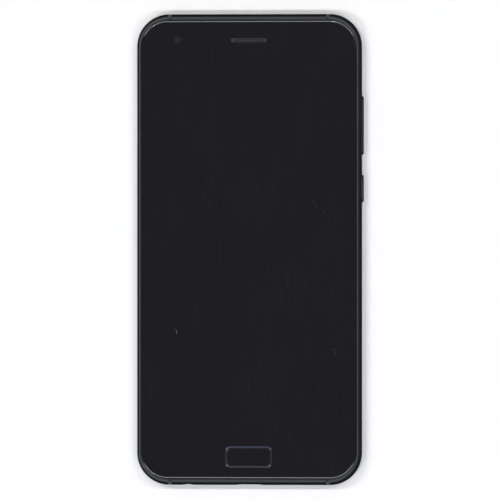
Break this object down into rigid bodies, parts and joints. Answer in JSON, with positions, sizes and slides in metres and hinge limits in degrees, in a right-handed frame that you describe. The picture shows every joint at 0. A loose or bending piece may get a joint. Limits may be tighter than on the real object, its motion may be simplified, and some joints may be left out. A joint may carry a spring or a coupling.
{
  "type": "phone lcd screen assembly",
  "caption": "Phone display on its metal mid frame: black cover glass over an LCD module, oblong home key, earpiece slot and side keys.",
  "frame": {"origin": "middle of the rear face of the frame, on the plane that the assembly lies on", "axes": "+Z towards the front of the cover glass, +Y towards the earpiece end, +X towards the side with the keys"},
  "size_m": [0.0749, 0.1554, 0.0067],
  "materials": {
    "anodised_frame": "anodised, satin",
    "anodised_key": "anodised, satin",
    "moulded_plastic": "moulded, matt",
    "cover_glass": "polished, black behind",
    "panel_glass": "polished",
    "optical_film": "clear film",
    "polarizer": "dark film",
    "white_film": "white film",
    "clear_guide": "clear moulding",
    "white_plastic": "moulded, white",
    "black_tape": "black foam tape",
    "black_rubber": "matt rubber",
    "flex_film": "dark polyimide film",
    "chip": "ground silicon",
    "connector_plastic": "moulded, black",
    "led_package": "white package",
    "pressed_steel": "rolled sheet",
    "dark_mesh": "etched, dark",
    "dome_steel": "pressed",
    "insert_brass": "turned",
    "graphite": "graphite film",
    "home_ceramic": "polished, black",
    "home_bezel": "polished, dark",
    "cloth": "fine black cloth"
  },
  "bodies": {
    "frame": {"mid_frame": "anodised_frame", "top_antenna_bar": "anodised_frame", "bottom_antenna_bar": "anodised_frame", "top_moulding": "moulded_plastic", "bottom_moulding": "moulded_plastic", "thread_inserts": "insert_brass", "cover_glass": "cover_glass", "display_adhesive": "black_tape", "optical_adhesive": "optical_film", "front_polarizer": "polarizer", "colour_filter_glass": "panel_glass", "tft_glass": "panel_glass", "rear_polarizer": "polarizer", "driver_chip": "chip", "display_flex": "flex_film", "display_connector": "connector_plastic", "upper_prism_sheet": "optical_film", "lower_prism_sheet": "optical_film", "diffuser_sheet": "white_film", "light_guide_plate": "clear_guide", "reflector_sheet": "white_film", "backlight_tray": "pressed_steel", "backlight_mould_frame": "white_plastic", "rim_tape": "black_tape", "led_flex": "flex_film", "backlight_leds": "led_package", "display_foam": "black_tape", "earpiece_mesh": "dark_mesh", "earpiece_gasket": "black_rubber", "camera_gasket": "black_tape", "sensor_sleeve": "black_rubber", "home_ring": "home_bezel", "home_key": "home_ceramic", "fingerprint_sensor": "chip", "home_seal": "black_rubber", "home_flex": "flex_film", "home_connector": "connector_plastic", "home_stiffener": "pressed_steel", "side_key_bracket": "pressed_steel", "side_key_flex": "flex_film", "dome_switches": "dome_steel", "speaker_mesh": "cloth", "mic_mesh": "cloth", "graphite_sheet": "graphite"},
    "volume_key": {"volume_rocker": "anodised_key", "volume_rocker_pads": "black_rubber"},
    "power_key": {"power_key": "anodised_key", "power_key_pad": "black_rubber"}
  },
  "joints": [
    {"name": "volume_rock", "type": "hinge", "parent": "frame", "child": "volume_key", "pos_m": [0.03485, 0.0409, 0.0025], "axis": [0, 0, 1], "range_deg": [-1.3, 1.3], "stiffness_Nm_per_rad": 0.5},
    {"name": "power_press", "type": "slide", "parent": "frame", "child": "power_key", "axis": [-1, 0, 0], "range_m": [0, 0.00025], "stiffness_N_per_m": 4000}
  ]
}
